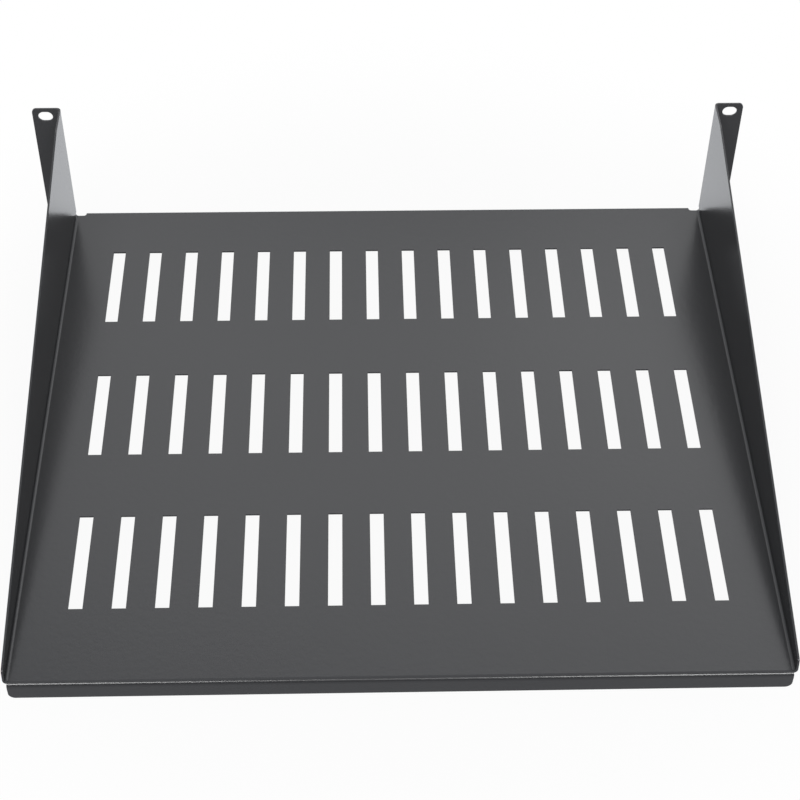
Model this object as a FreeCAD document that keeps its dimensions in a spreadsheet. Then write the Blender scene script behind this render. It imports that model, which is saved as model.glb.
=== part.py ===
import FreeCAD, Part
import Sketcher
import math
import os

# Cantilever shelf for a 19 inch rack, folded from one blank of sheet steel.
# Frame: X across the rack, Y from the free end (-Y) to the rack's front (+Y), Z up.
# The origin is on the plane that the two down-turned flanges stand on, at the middle of the footprint.

SIZES = {
    "sheet_gauge": 1.2,        # thickness of the blank
    "bend_radius": 1.8,        # inside radius of every fold
    "overall_depth": 406.7,    # face of the free-end lip to the front face of the ears
    "ear_span": 482.6,         # outer edge to outer edge of the two ears, the 19 inch panel width
    "ear_reach": 18.55,        # how far an ear stands out from its side wall
    "ear_height": 88.9,        # height of two rack units
    "ear_rise": 2.3,           # bottom of the ears above the top of the deck
    "ear_corner": 3.0,         # rounding of the ears' outer corners
    "hole_inset": 8.75,        # ear's outer edge to the centre of its holes
    "hole_edge": 6.35,         # ear's top or bottom to the centre of the nearest hole
    "hole_length": 9.8,        # mounting hole end to end, across the rack
    "hole_height": 7.6,        # mounting hole top to bottom
    "flange_drop": 12.0,       # top of the deck to the lower edge of lip and front flange
    "flange_corner": 4.0,      # rounding of their lower corners
    "wall_low": 8.6,           # side wall above the deck at the free end
    "wall_setback": 1.8,       # lip's face to the near ends of the side walls, at the fold
    "wall_lean": 1.6,          # how much further back those ends are at their top
    "wall_corner": 1.5,        # rounding of the walls' low corner
    "level_run": 26.2,         # level stretch of the wall's top edge, behind the ear's face
    "shoulder_radius": 12.0,   # rounding where the level edge turns into the slope
    "kerf_inset": 0.7,         # wall's inside face to the slit that frees the lip
    "kerf_width": 0.2,         # width of that slit
    "kerf_run": 0.8,           # how far the slit runs past the fold
    "relief_width": 7.0,       # relief notch, from the wall's inside face inwards
    "relief_extra": 1.6,       # how far the notch runs past the fold
    "relief_round": 2.0,       # rounding of the notch's inner corner
    "slot_length": 70.0,       # vent slot along the depth
    "slot_width": 8.3,         # vent slot across
    "slot_pitch": 25.0,        # slot to slot across the deck
    "row_count": 3,            # rows of slots, spread evenly over the depth
    "first_row": 52.7,         # lip's face to the near end of the first row
    "back_margin": 44.0,       # far end of the last row to the ears' front face
    "side_margin": 28.0,       # least plain deck between the outer slots and the walls
}

NODE = "shelf_tray"

# Places that several folds share, as expressions on the sheet
GAUGE = "Sizes.sheet_gauge"
INSIDE = "Sizes.bend_radius"
OUTSIDE = "(Sizes.bend_radius + Sizes.sheet_gauge)"
WALL_OUT = "(Sizes.ear_span / 2 - Sizes.ear_reach)"
WALL_IN = "(Sizes.ear_span / 2 - Sizes.ear_reach - Sizes.sheet_gauge)"
EAR_EDGE = "(Sizes.ear_span / 2)"
RACK_FACE = "(Sizes.overall_depth / 2)"
FREE_FACE = "(-Sizes.overall_depth / 2)"
DECK_TOP = "Sizes.flange_drop"
DECK_UNDER = "(Sizes.flange_drop - Sizes.sheet_gauge)"
EAR_BOTTOM = "(Sizes.flange_drop + Sizes.ear_rise)"
EAR_TOP = "(Sizes.flange_drop + Sizes.ear_rise + Sizes.ear_height)"
LOW_TOP = "(Sizes.flange_drop + Sizes.wall_low)"
LIP_FOLD = f"({FREE_FACE} + {OUTSIDE})"
WALL_START = f"({FREE_FACE} + Sizes.wall_setback)"
LOW_CORNER = f"({FREE_FACE} + Sizes.wall_setback + Sizes.wall_lean)"
KERF_OUT = f"({WALL_IN} - Sizes.kerf_inset)"
KERF_IN = f"({WALL_IN} - Sizes.kerf_inset - Sizes.kerf_width)"
KERF_END = f"({LIP_FOLD} + Sizes.kerf_run)"
RELIEF_DEPTH = f"({OUTSIDE} + Sizes.relief_extra)"
RELIEF_END = f"({RACK_FACE} - {RELIEF_DEPTH})"
RELIEF_SIDE = f"({WALL_IN} - Sizes.relief_width)"
SHOULDER = f"({RACK_FACE} - Sizes.level_run)"
HOLE_X = f"({EAR_EDGE} - Sizes.hole_inset)"
LOW_HOLE = f"({EAR_BOTTOM} + Sizes.hole_edge)"
HOLE_SPACING = "Sizes.ear_height - 2 * Sizes.hole_edge"
SLOT_ROOM = f"(2 * {WALL_IN} - 2 * Sizes.side_margin - Sizes.slot_width)"
SLOT_COUNT = f"floor({SLOT_ROOM} / Sizes.slot_pitch) + 1"
ROW_COUNT = "round(Sizes.row_count)"
ROW_ROOM = "(Sizes.overall_depth - Sizes.first_row - Sizes.back_margin - Sizes.slot_length)"
ROW_PITCH = f"{ROW_ROOM} / ({ROW_COUNT} - 1)"
FIRST_SLOT = f"(-floor({SLOT_ROOM} / Sizes.slot_pitch) * Sizes.slot_pitch / 2)"
ROW_START = f"({FREE_FACE} + Sizes.first_row)"

# The numbered points of a curve, and the distance that counts as touching
START, END, CENTRE = range(1, 4)
TOUCH = 1e-4


def make_sheet(doc):
    sheet = doc.addObject("Spreadsheet::Sheet", "Sizes")
    for row, (alias, value) in enumerate(SIZES.items(), start=1):
        cell = f"A{row}"
        sheet.set(cell, str(value))
        sheet.setAlias(cell, alias)
    doc.recompute()


def number(owner, expression):
    """What an expression on the sheet comes to at present."""
    value = owner.evalExpression(expression)
    return float(getattr(value, "Value", value))


def plane_of(body, role):
    return next(item for item in body.Origin.OriginFeatures if item.Role == role)


def new_sketch(body, name, role, lift=None):
    """A sketch on one of the body's own planes, lifted along the plane's normal if asked."""
    sketch = body.newObject("Sketcher::SketchObject", name)
    sketch.AttachmentSupport = [(plane_of(body, role), "")]
    sketch.MapMode = "FlatFace"
    if lift:
        sketch.setExpression("AttachmentOffset.Base.z", lift)
    return sketch


def drive(sketch, kind, geometry, point, expression):
    """Fixes one coordinate of a point to an expression on the sheet."""
    value = number(sketch, expression)
    index = sketch.addConstraint(Sketcher.Constraint(kind, geometry, point, value))
    sketch.setExpression(f"Constraints[{index}]", expression)


def corner_arc(before, corner, after, radius):
    """Centre, ends and angles of the round that joins two straight runs at a corner."""
    to_before = (before - corner).normalize()
    to_after = (after - corner).normalize()
    half = to_before.getAngle(to_after) / 2
    bisector = (to_before + to_after).normalize()
    centre = corner + bisector * (radius / math.sin(half))
    first = corner + to_before * (radius / math.tan(half))
    last = corner + to_after * (radius / math.tan(half))
    return centre, first, last


def draw_outline(sketch, corners):
    """A closed outline of straight runs. A corner is (x, y) or (x, y, radius), all expressions."""
    points = [FreeCAD.Vector(number(sketch, c[0]), number(sketch, c[1]), 0) for c in corners]
    total = len(corners)
    rounds = {}
    starts = list(points)
    ends = list(points)
    for i, corner in enumerate(corners):
        if len(corner) == 3:
            radius = number(sketch, corner[2])
            centre, first, last = corner_arc(points[i - 1], points[i], points[(i + 1) % total], radius)
            rounds[i] = (centre, radius)
            ends[i] = first
            starts[i] = last
    runs = []
    for i in range(total):
        run = Part.LineSegment(starts[i], ends[(i + 1) % total])
        runs.append(sketch.addGeometry(run, False))
    for i, corner in enumerate(corners):
        arriving = runs[i - 1]
        leaving = runs[i]
        if i not in rounds:
            sketch.addConstraint(Sketcher.Constraint("Coincident", arriving, END, leaving, START))
            drive(sketch, "DistanceX", leaving, START, corner[0])
            drive(sketch, "DistanceY", leaving, START, corner[1])
            continue
        centre, radius = rounds[i]
        turn = (ends[i] - centre).cross(starts[i] - centre).z
        low, high = (ends[i], starts[i]) if turn > 0 else (starts[i], ends[i])
        low_angle = math.atan2(low.y - centre.y, low.x - centre.x)
        high_angle = math.atan2(high.y - centre.y, high.x - centre.x)
        circle = Part.Circle(centre, FreeCAD.Vector(0, 0, 1), radius)
        arc = sketch.addGeometry(Part.ArcOfCircle(circle, low_angle, high_angle), False)
        near_end, far_end = (START, END) if turn > 0 else (END, START)
        sketch.addConstraint(Sketcher.Constraint("Tangent", arriving, END, arc, near_end))
        sketch.addConstraint(Sketcher.Constraint("Tangent", arc, far_end, leaving, START))
        index = sketch.addConstraint(Sketcher.Constraint("Radius", arc, radius))
        sketch.setExpression(f"Constraints[{index}]", corner[2])
        peak = sketch.addGeometry(Part.Point(points[i]), True)
        sketch.addConstraint(Sketcher.Constraint("PointOnObject", peak, START, arriving))
        sketch.addConstraint(Sketcher.Constraint("PointOnObject", peak, START, leaving))
        drive(sketch, "DistanceX", peak, START, corner[0])
        drive(sketch, "DistanceY", peak, START, corner[1])


def draw_obround(sketch, centre_x, centre_y, length, height):
    """A hole with half-round ends, long axis across, sized and placed by expressions."""
    reach = f"(({length} - {height}) / 2)"
    left = f"{centre_x} - {reach}"
    right = f"{centre_x} + {reach}"
    y = number(sketch, centre_y)
    radius = number(sketch, height) / 2
    normal = FreeCAD.Vector(0, 0, 1)
    rise = FreeCAD.Vector(0, radius, 0)
    left_centre = FreeCAD.Vector(number(sketch, left), y, 0)
    right_centre = FreeCAD.Vector(number(sketch, right), y, 0)
    left_circle = Part.Circle(left_centre, normal, radius)
    right_circle = Part.Circle(right_centre, normal, radius)
    left_arc = sketch.addGeometry(Part.ArcOfCircle(left_circle, math.pi / 2, 3 * math.pi / 2), False)
    right_arc = sketch.addGeometry(Part.ArcOfCircle(right_circle, -math.pi / 2, math.pi / 2), False)
    low = sketch.addGeometry(Part.LineSegment(left_centre - rise, right_centre - rise), False)
    top = sketch.addGeometry(Part.LineSegment(right_centre + rise, left_centre + rise), False)
    sketch.addConstraint(Sketcher.Constraint("Tangent", left_arc, END, low, START))
    sketch.addConstraint(Sketcher.Constraint("Tangent", low, END, right_arc, START))
    sketch.addConstraint(Sketcher.Constraint("Tangent", right_arc, END, top, START))
    sketch.addConstraint(Sketcher.Constraint("Tangent", top, END, left_arc, START))
    sketch.addConstraint(Sketcher.Constraint("Horizontal", low))
    index = sketch.addConstraint(Sketcher.Constraint("Radius", left_arc, radius))
    sketch.setExpression(f"Constraints[{index}]", f"{height} / 2")
    drive(sketch, "DistanceX", left_arc, CENTRE, left)
    drive(sketch, "DistanceY", left_arc, CENTRE, centre_y)
    drive(sketch, "DistanceX", right_arc, CENTRE, right)


def pad(body, name, sketch, length, symmetric=False, other_way=None):
    feature = body.newObject("PartDesign::Pad", name)
    feature.Profile = (sketch, [""])
    if symmetric:
        feature.SideType = "Symmetric"
    if other_way:
        feature.SideType = "Two sides"
        feature.setExpression("Length2", other_way)
    feature.setExpression("Length", length)
    body.Document.recompute()
    return feature


def pocket(body, name, sketch, length=None):
    """Cuts through everything both ways, or upwards from the sketch by a length."""
    before = body.Shape.Volume
    feature = body.newObject("PartDesign::Pocket", name)
    feature.Profile = (sketch, [""])
    if length is None:
        feature.Type = "ThroughAll"
        feature.SideType = "Symmetric"
    else:
        feature.setExpression("Length", length)
        feature.Reversed = True
    body.Document.recompute()
    if body.Shape.Volume >= before - TOUCH:
        raise RuntimeError(f"{name} removed nothing")
    return feature


def mirror_across(body, name, features):
    """Repeats features on the other side of the middle plane."""
    mirrored = body.newObject("PartDesign::Mirrored", name)
    mirrored.Originals = features
    mirrored.MirrorPlane = (plane_of(body, "YZ_Plane"), [""])
    body.Tip = mirrored
    body.Document.recompute()
    return mirrored


def spacing_pattern(body, name, sketch, axis, count, spacing):
    """A row of copies along a sketch axis, for use in a combined pattern."""
    pattern = body.newObject("PartDesign::LinearPattern", name)
    pattern.Direction = (sketch, [axis])
    pattern.Mode = "Spacing"
    pattern.setExpression("Occurrences", count)
    pattern.setExpression("Offset", spacing)
    return pattern


def repeat(body, name, feature, transformations):
    combined = body.newObject("PartDesign::MultiTransform", name)
    combined.Originals = [feature]
    combined.Transformations = transformations
    body.Tip = combined
    body.Document.recompute()
    return combined


def fillet(body, name, wanted, radius):
    """Rounds every edge whose middle and direction the test accepts."""
    base = body.Tip
    names = []
    for place, edge in enumerate(base.Shape.Edges, start=1):
        if edge.Curve.TypeId != "Part::GeomLine":
            continue
        if wanted(edge.CenterOfMass, edge.tangentAt(edge.FirstParameter)):
            names.append(f"Edge{place}")
    if not names:
        raise RuntimeError(f"{name} found no edge")
    feature = body.newObject("PartDesign::Fillet", name)
    feature.Base = (base, names)
    feature.setExpression("Radius", radius)
    body.Tip = feature
    body.Document.recompute()
    return feature


def make_shelf(doc):
    body = doc.addObject("PartDesign::Body", "ShelfTray")
    body.Label = NODE
    body.Placement = FreeCAD.Placement()

    # Deck and both side walls, one trough section carried along the depth
    trough = new_sketch(body, "TroughSection", "XZ_Plane")
    draw_outline(trough, [
        (f"-{WALL_OUT}", EAR_TOP),
        (f"-{WALL_OUT}", DECK_UNDER, OUTSIDE),
        (WALL_OUT, DECK_UNDER, OUTSIDE),
        (WALL_OUT, EAR_TOP),
        (WALL_IN, EAR_TOP),
        (WALL_IN, DECK_TOP, INSIDE),
        (f"-{WALL_IN}", DECK_TOP, INSIDE),
        (f"-{WALL_IN}", EAR_TOP),
    ])
    pad(body, "DeckAndWalls", trough, f"-{WALL_START}", other_way=f"{RACK_FACE} - {OUTSIDE}")

    # Clears the fold line of the lip, with a thin slit at each end to free it from the walls
    fold_line = new_sketch(body, "FoldLineOutline", "XY_Plane")
    draw_outline(fold_line, [
        (f"-{KERF_OUT}", f"{FREE_FACE} - {GAUGE}"),
        (KERF_OUT, f"{FREE_FACE} - {GAUGE}"),
        (KERF_OUT, KERF_END),
        (KERF_IN, KERF_END),
        (KERF_IN, LIP_FOLD),
        (f"-{KERF_IN}", LIP_FOLD),
        (f"-{KERF_IN}", KERF_END),
        (f"-{KERF_OUT}", KERF_END),
    ])
    pocket(body, "FoldLineCut", fold_line)

    # Lip folded down along the free end, between the two slits
    lip = new_sketch(body, "LipSection", "YZ_Plane")
    draw_outline(lip, [
        (KERF_END, DECK_UNDER),
        (KERF_END, DECK_TOP),
        (FREE_FACE, DECK_TOP, OUTSIDE),
        (FREE_FACE, "0"),
        (f"{FREE_FACE} + {GAUGE}", "0"),
        (f"{FREE_FACE} + {GAUGE}", DECK_UNDER, INSIDE),
    ])
    pad(body, "FreeEndLip", lip, f"2 * {KERF_IN}", symmetric=True)

    # Flange folded down along the front edge; the relief notches trim its ends
    flange = new_sketch(body, "FrontFlangeSection", "YZ_Plane")
    draw_outline(flange, [
        (RELIEF_END, DECK_TOP),
        (RELIEF_END, DECK_UNDER),
        (f"{RACK_FACE} - {GAUGE}", DECK_UNDER, INSIDE),
        (f"{RACK_FACE} - {GAUGE}", "0"),
        (RACK_FACE, "0"),
        (RACK_FACE, DECK_TOP, OUTSIDE),
    ])
    pad(body, "FrontFlange", flange, f"2 * ({WALL_OUT} - {OUTSIDE})", symmetric=True)

    # Top edge of the walls: near ends that lean back, then the slope up to the level stretch at the ears
    slope = new_sketch(body, "SlopeOutline", "YZ_Plane")
    draw_outline(slope, [
        (WALL_START, DECK_TOP),
        (LOW_CORNER, LOW_TOP),
        (SHOULDER, EAR_TOP),
        (SHOULDER, f"{EAR_TOP} + {GAUGE}"),
        (WALL_START, f"{EAR_TOP} + {GAUGE}"),
    ])
    pocket(body, "WallSlope", slope)

    # Mounting ears, folded outwards from the front end of the walls
    ear = new_sketch(body, "EarSection", "XY_Plane", lift=EAR_BOTTOM)
    draw_outline(ear, [
        (WALL_IN, RELIEF_END),
        (WALL_OUT, RELIEF_END),
        (WALL_OUT, f"{RACK_FACE} - {GAUGE}", INSIDE),
        (EAR_EDGE, f"{RACK_FACE} - {GAUGE}"),
        (EAR_EDGE, RACK_FACE),
        (WALL_IN, RACK_FACE, OUTSIDE),
    ])
    ear_pad = pad(body, "Ear", ear, "Sizes.ear_height")
    mirror_across(body, "Ears", [ear_pad])

    # Relief notches at the corners where deck, wall, ear and front flange meet
    relief = new_sketch(body, "ReliefOutline", "XY_Plane")
    draw_outline(relief, [
        (RELIEF_SIDE, RELIEF_END, "Sizes.relief_round"),
        (f"{WALL_OUT} + {GAUGE}", RELIEF_END),
        (f"{WALL_OUT} + {GAUGE}", f"{RACK_FACE} + {GAUGE}"),
        (RELIEF_SIDE, f"{RACK_FACE} + {GAUGE}"),
    ])
    relief_cut = pocket(body, "CornerRelief", relief, length=EAR_BOTTOM)
    mirror_across(body, "CornerReliefs", [relief_cut])

    # Four mounting holes, drawn once and repeated up the ear and across the rack
    hole = new_sketch(body, "HoleOutline", "XZ_Plane")
    draw_obround(hole, HOLE_X, LOW_HOLE, "Sizes.hole_length", "Sizes.hole_height")
    hole_cut = pocket(body, "EarHole", hole)
    upward = spacing_pattern(body, "UpTheEar", hole, "V_Axis", "2", HOLE_SPACING)
    across = body.newObject("PartDesign::Mirrored", "AcrossTheRack")
    across.MirrorPlane = (plane_of(body, "YZ_Plane"), [""])
    repeat(body, "EarHoles", hole_cut, [upward, across])

    # Rounded corners that a hand can reach: ears, wall ends, shoulders and flange ends
    ear_edge = number(body, EAR_EDGE)
    low_corner = number(body, LOW_CORNER)
    low_top = number(body, LOW_TOP)
    ear_top = number(body, EAR_TOP)
    shoulder = number(body, SHOULDER)

    def runs_along_depth(direction):
        return abs(direction.y) > 1 - TOUCH

    def runs_across(direction):
        return abs(direction.x) > 1 - TOUCH

    fillet(body, "EarCorners",
           lambda middle, way: runs_along_depth(way) and abs(abs(middle.x) - ear_edge) < TOUCH,
           "Sizes.ear_corner")
    fillet(body, "WallCorners",
           lambda middle, way: runs_across(way) and abs(middle.y - low_corner) < TOUCH
           and abs(middle.z - low_top) < TOUCH,
           "Sizes.wall_corner")
    fillet(body, "Shoulders",
           lambda middle, way: runs_across(way) and abs(middle.y - shoulder) < TOUCH
           and abs(middle.z - ear_top) < TOUCH,
           "Sizes.shoulder_radius")
    fillet(body, "FlangeCorners",
           lambda middle, way: runs_along_depth(way) and abs(middle.z) < TOUCH,
           "Sizes.flange_corner")

    # Rows of vent slots through the deck
    slot = new_sketch(body, "SlotOutline", "XY_Plane")
    draw_outline(slot, [
        (f"{FIRST_SLOT} - Sizes.slot_width / 2", ROW_START),
        (f"{FIRST_SLOT} + Sizes.slot_width / 2", ROW_START),
        (f"{FIRST_SLOT} + Sizes.slot_width / 2", f"{ROW_START} + Sizes.slot_length"),
        (f"{FIRST_SLOT} - Sizes.slot_width / 2", f"{ROW_START} + Sizes.slot_length"),
    ])
    slot_cut = pocket(body, "VentSlot", slot)
    along_row = spacing_pattern(body, "AlongTheRow", slot, "H_Axis", SLOT_COUNT, "Sizes.slot_pitch")
    row_to_row = spacing_pattern(body, "RowToRow", slot, "V_Axis", ROW_COUNT, ROW_PITCH)
    repeat(body, "VentSlots", slot_cut, [along_row, row_to_row])
    return body


def check(doc, bodies):
    for item in doc.Objects:
        if "Invalid" in item.State or "Error" in item.State:
            raise RuntimeError(f"{item.Name} failed: {item.State}")
    for body in bodies:
        if body.Shape.isNull() or not body.Shape.isValid():
            raise RuntimeError(f"{body.Label} has no valid shape")
        if len(body.Shape.Solids) != 1:
            raise RuntimeError(f"{body.Label} is not one solid")


doc = FreeCAD.newDocument("CantileverShelf")
make_sheet(doc)
shelf = make_shelf(doc)
doc.recompute()
check(doc, [shelf])

os.makedirs("parts", exist_ok=True)
for body in [shelf]:
    body.Shape.exportStep(f"parts/{body.Label}.step")
    box = body.Shape.BoundBox
    size = f"{box.XLength:.2f} x {box.YLength:.2f} x {box.ZLength:.2f} mm"
    print(f"{body.Label}: {size}, volume {body.Shape.Volume:.1f} mm3, {len(body.Shape.Faces)} faces")
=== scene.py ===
import math
import bpy
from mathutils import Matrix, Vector

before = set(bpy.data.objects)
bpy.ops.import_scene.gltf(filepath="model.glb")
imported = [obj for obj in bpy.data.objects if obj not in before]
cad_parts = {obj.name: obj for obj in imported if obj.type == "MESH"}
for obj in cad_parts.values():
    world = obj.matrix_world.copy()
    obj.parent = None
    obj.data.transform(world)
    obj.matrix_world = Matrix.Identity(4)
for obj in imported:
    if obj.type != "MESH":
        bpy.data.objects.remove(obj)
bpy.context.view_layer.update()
bpy.ops.object.select_all(action="DESELECT")
print("rack shelf loaded")

plainWhite = (1.0, 1.0, 1.0, 1.0)
mirroredTint = (0.965, 0.985, 1.02, 1.0)    # the cool white that a sheen mirrors


def newMaterial(name):
    material = bpy.data.materials.new(name)
    material.use_nodes = True
    nodes = material.node_tree.nodes
    nodes.clear()
    return material, nodes, material.node_tree.links


def addNoise(nodes, links, where, scale, detail):
    noise = nodes.new("ShaderNodeTexNoise")
    noise.inputs["Scale"].default_value = scale
    noise.inputs["Detail"].default_value = detail
    links.new(where, noise.inputs["Vector"])
    return noise.outputs["Fac"]


def addBump(nodes, links, height, depth):
    bump = nodes.new("ShaderNodeBump")
    bump.inputs["Distance"].default_value = depth
    links.new(height, bump.inputs["Height"])
    return bump


def addMath(nodes, links, operation, *values):
    result = nodes.new("ShaderNodeMath")
    result.operation = operation
    for socket, value in zip(result.inputs, values):
        links.new(value, socket)
    return result.outputs[0]


def addFade(nodes, links, value, span, first, last):
    fade = nodes.new("ShaderNodeMapRange")
    fade.interpolation_type = "SMOOTHSTEP"
    fade.inputs["From Min"].default_value = span[0]
    fade.inputs["From Max"].default_value = span[1]
    fade.inputs["To Min"].default_value = first
    fade.inputs["To Max"].default_value = last
    links.new(value, fade.inputs["Value"])
    return fade.outputs["Result"]


def splitVector(nodes, links, vector):
    parts = nodes.new("ShaderNodeSeparateXYZ")
    links.new(vector, parts.inputs["Vector"])
    return parts.outputs


def addGlow(nodes, kind, colour, strength=1.0):
    glow = nodes.new(kind)
    glow.inputs["Color"].default_value = colour
    glow.inputs["Strength"].default_value = strength
    return glow


def addMix(nodes, links, factor, first, second):
    mixed = nodes.new("ShaderNodeMixShader")
    links.new(factor, mixed.inputs[0])
    links.new(first.outputs[0], mixed.inputs[1])
    links.new(second.outputs[0], mixed.inputs[2])
    return mixed


# The satin powder coat: matt black pigment under a glossy binder
powderCoat = {
    "name": "powderCoat",
    "darkTone": (0.0290, 0.0295, 0.0320, 1.0),
    "lightTone": (0.0350, 0.0355, 0.0383, 1.0),
    "toneScale": 9.0,            # patches per metre in the slow drift of the tone
    "toneDetail": 3.0,
    "baseRoughness": 0.6,
    "baseGloss": 0.0,            # all the gloss comes from the binder
    "sheen": 0.70,               # share of the surface that the binder covers
    "sheenRoughness": 0.235,
    "ior": 1.6,
    "peelScale": 300.0,          # orange peel, about 3 mm from bump to bump
    "peelDetail": 2.0,
    "peelDepth": 0.00005,
    "grainScale": 1300.0,        # grain of the cured powder, under 1 mm
    "grainDetail": 1.0,
    "grainDepth": 0.000012,
}


def makePowderCoat(look):
    material, nodes, links = newMaterial(look["name"])
    output = nodes.new("ShaderNodeOutputMaterial")
    coat = nodes.new("ShaderNodeBsdfPrincipled")
    coat.inputs["Roughness"].default_value = look["baseRoughness"]
    coat.inputs["Specular IOR Level"].default_value = look["baseGloss"]
    coat.inputs["Coat Weight"].default_value = look["sheen"]
    coat.inputs["Coat Roughness"].default_value = look["sheenRoughness"]
    coat.inputs["Coat IOR"].default_value = look["ior"]
    links.new(coat.outputs["BSDF"], output.inputs["Surface"])
    where = nodes.new("ShaderNodeTexCoord").outputs["Object"]

    # the tone drifts a little from patch to patch
    patches = addNoise(nodes, links, where, look["toneScale"], look["toneDetail"])
    tone = nodes.new("ShaderNodeMix")
    tone.data_type = "RGBA"
    tone.inputs[6].default_value = look["darkTone"]
    tone.inputs[7].default_value = look["lightTone"]
    links.new(patches, tone.inputs["Factor"])
    links.new(tone.outputs[2], coat.inputs["Base Color"])

    # orange peel, with the powder's grain over it
    peel = addNoise(nodes, links, where, look["peelScale"], look["peelDetail"])
    grain = addNoise(nodes, links, where, look["grainScale"], look["grainDetail"])
    grainBump = addBump(nodes, links, grain, look["grainDepth"])
    peelBump = addBump(nodes, links, peel, look["peelDepth"])
    links.new(grainBump.outputs["Normal"], peelBump.inputs["Normal"])
    links.new(peelBump.outputs["Normal"], coat.inputs["Normal"])
    links.new(peelBump.outputs["Normal"], coat.inputs["Coat Normal"])
    return material


def finishShelf(look):
    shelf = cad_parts["shelf_tray"]
    shelf.data.materials.clear()
    shelf.data.materials.append(makePowderCoat(look))
    print("powder coat on the shelf")


# Pale floor, white to the eye and with a faint shadow round the shelf
studioFloor = {
    "name": "studioFloor",
    "width": 7.0,
    "paint": (0.78, 0.78, 0.78, 1.0),
    "shadowShare": 0.06,         # how much of the real shading the eye is shown
    "shadowFades": (0.22, 0.45),    # metres from the shelf's middle where it thins out and ends
    "mirroredNear": 0.71,        # strength that a sheen mirrors in front of the shelf
    "mirroredFar": 1.68,         # and behind it, a painted glow above white for a lit backdrop
    "mirroredTurns": (0.14, 0.24),  # metres along Y where the one turns into the other
}


def makeFloorPaint(look):
    material, nodes, links = newMaterial(look["name"])
    output = nodes.new("ShaderNodeOutputMaterial")
    paint = nodes.new("ShaderNodeBsdfDiffuse")
    paint.inputs["Color"].default_value = look["paint"]
    white = addGlow(nodes, "ShaderNodeEmission", plainWhite)
    where = nodes.new("ShaderNodeTexCoord").outputs["Object"]
    rays = nodes.new("ShaderNodeLightPath").outputs

    # a sheen mirrors a floor dimmer on the photographer's side, with a painted glow behind it
    mirrored = addGlow(nodes, "ShaderNodeEmission", mirroredTint)
    along = splitVector(nodes, links, where)["Y"]
    strength = addFade(nodes, links, along, look["mirroredTurns"],
                       look["mirroredNear"], look["mirroredFar"])
    links.new(strength, mirrored.inputs["Strength"])
    bright = addMix(nodes, links, rays["Is Glossy Ray"], white, mirrored)

    # camera, mirrored and refracted rays find it bright, with a little of the real shading
    seen = addMath(nodes, links, "MAXIMUM", rays["Is Camera Ray"], rays["Is Glossy Ray"])
    seen = addMath(nodes, links, "MAXIMUM", seen, rays["Is Transmission Ray"])
    reach = nodes.new("ShaderNodeVectorMath")
    reach.operation = "LENGTH"
    links.new(where, reach.inputs[0])
    whiteShare = addFade(nodes, links, reach.outputs["Value"], look["shadowFades"],
                         1.0 - look["shadowShare"], 1.0)
    share = addMath(nodes, links, "MULTIPLY", seen, whiteShare)
    shaded = addMix(nodes, links, share, paint, bright)
    links.new(shaded.outputs[0], output.inputs["Surface"])
    return material


def layFloor(look):
    bpy.ops.mesh.primitive_plane_add(size=look["width"], location=(0.0, 0.0, 0.0))
    floor = bpy.context.object
    floor.name = look["name"]
    floor.data.materials.append(makeFloorPaint(look))
    floor.select_set(False)
    print("floor laid")


# Light from all round: how much reaches matt surfaces, and what a sheen mirrors
worldLight = {
    "name": "studioWorld",
    "soft": 0.06,
    "mirrored": 1.08,
    "dimPatch": 0.14,            # strength mirrored from where the photographer stands
    "patchForward": (-0.50, -0.05),  # Y of the direction where it is fully dim, and where it ends
    "patchAside": (0.20, 0.50),      # the same for X, to either side
}


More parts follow.
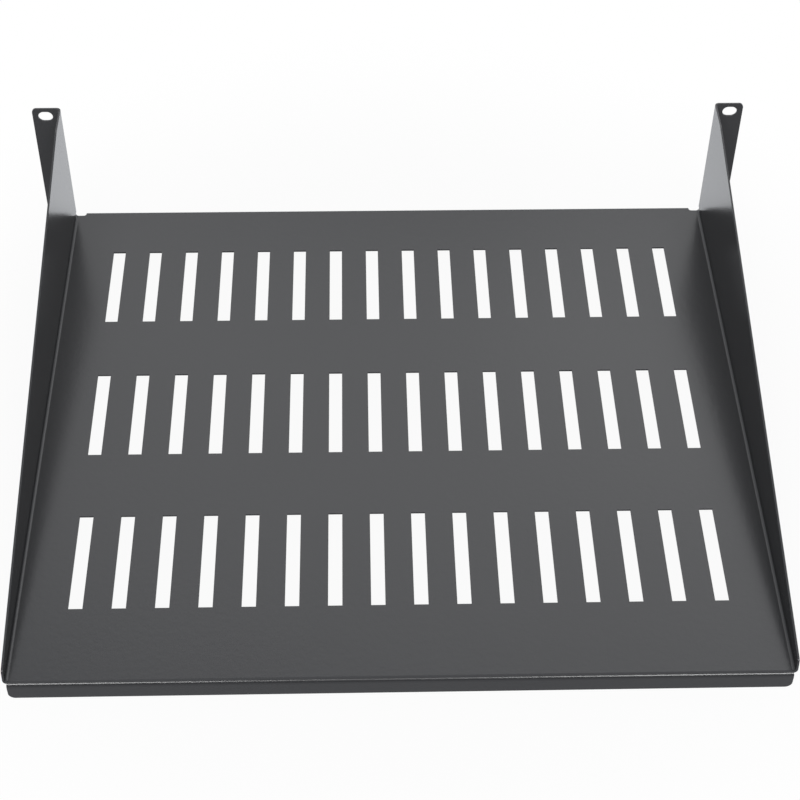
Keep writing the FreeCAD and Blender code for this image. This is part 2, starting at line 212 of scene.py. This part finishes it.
def makeWorld(light):
    world = bpy.data.worlds.new(light["name"])
    bpy.context.scene.world = world
    world.use_nodes = True
    nodes = world.node_tree.nodes
    links = world.node_tree.links
    nodes.clear()
    output = nodes.new("ShaderNodeOutputWorld")
    soft = addGlow(nodes, "ShaderNodeBackground", plainWhite, light["soft"])
    white = addGlow(nodes, "ShaderNodeBackground", plainWhite)
    toward = nodes.new("ShaderNodeTexCoord").outputs["Generated"]
    rays = nodes.new("ShaderNodeLightPath").outputs

    # a sheen mirrors an even room, but for a dim patch where the photographer stands
    mirrored = addGlow(nodes, "ShaderNodeBackground", mirroredTint)
    parts = splitVector(nodes, links, toward)
    forward = addFade(nodes, links, parts["Y"], light["patchForward"], 1.0, 0.0)
    aside = addMath(nodes, links, "ABSOLUTE", parts["X"])
    across = addFade(nodes, links, aside, light["patchAside"], 1.0, 0.0)
    patch = addMath(nodes, links, "MULTIPLY", forward, across)
    strength = addFade(nodes, links, patch, (0.0, 1.0), light["mirrored"], light["dimPatch"])
    links.new(strength, mirrored.inputs["Strength"])

    # camera and refracted rays find it plain white, and matt surfaces get the soft light
    glossy = addMix(nodes, links, rays["Is Glossy Ray"], soft, mirrored)
    seen = addMath(nodes, links, "MAXIMUM", rays["Is Camera Ray"], rays["Is Transmission Ray"])
    room = addMix(nodes, links, seen, glossy, white)
    links.new(room.outputs[0], output.inputs["Surface"])
    print("room lit")


# Soft boxes: place, aim, width, length, power
studioLamps = {
    "leftBox": ((-0.74, -1.80, 1.92), (0.0, -0.20, 0.0), 0.84, 0.64, 28.6),
    "middleBox": ((-0.02, -1.67, 2.02), (0.0, -0.20, 0.0), 0.60, 0.64, 1.2),
    "rightBox": ((0.66, -1.90, 1.83), (0.0, -0.20, 0.0), 0.72, 0.64, 25.6),
    "rearBox": ((0.52, 1.90, 2.28), (0.0, 0.0, 0.0), 3.0, 1.2, 11.0),
    "sideBox": ((1.20, 1.90, 1.80), (0.0, 0.0, 0.0), 1.9, 1.0, 3.2),
}


def hangLamps(lamps):
    for name, (place, aim, width, length, power) in lamps.items():
        lamp = bpy.data.lights.new(name, "AREA")
        lamp.shape = "RECTANGLE"
        lamp.size = width
        lamp.size_y = length
        lamp.energy = power
        holder = bpy.data.objects.new(name, lamp)
        bpy.context.collection.objects.link(holder)
        holder.location = place
        away = Vector(place) - Vector(aim)
        holder.rotation_euler = away.to_track_quat("Z", "Y").to_euler()
    print("lamps set")


# Where the photographer stood: place in metres, turn in degrees, lens and sensor in mm
photoView = {
    "name": "photoCamera",
    "place": (-0.02174, -0.79685, 0.85440),
    "turn": (43.91335, -0.46453, -1.32320),
    "lens": 81.9924,
    "sensor": 36.0,
}


def placeCamera(look):
    camera = bpy.data.objects.new(look["name"], bpy.data.cameras.new(look["name"]))
    bpy.context.collection.objects.link(camera)
    camera.location = look["place"]
    camera.rotation_euler = [math.radians(angle) for angle in look["turn"]]
    camera.data.sensor_width = look["sensor"]
    camera.data.lens = look["lens"]
    bpy.context.scene.camera = camera
    print("camera placed")


placeCamera(photoView)
finishShelf(powderCoat)
layFloor(studioFloor)
makeWorld(worldLight)
hangLamps(studioLamps)
bpy.context.scene.view_settings.view_transform = "Standard"
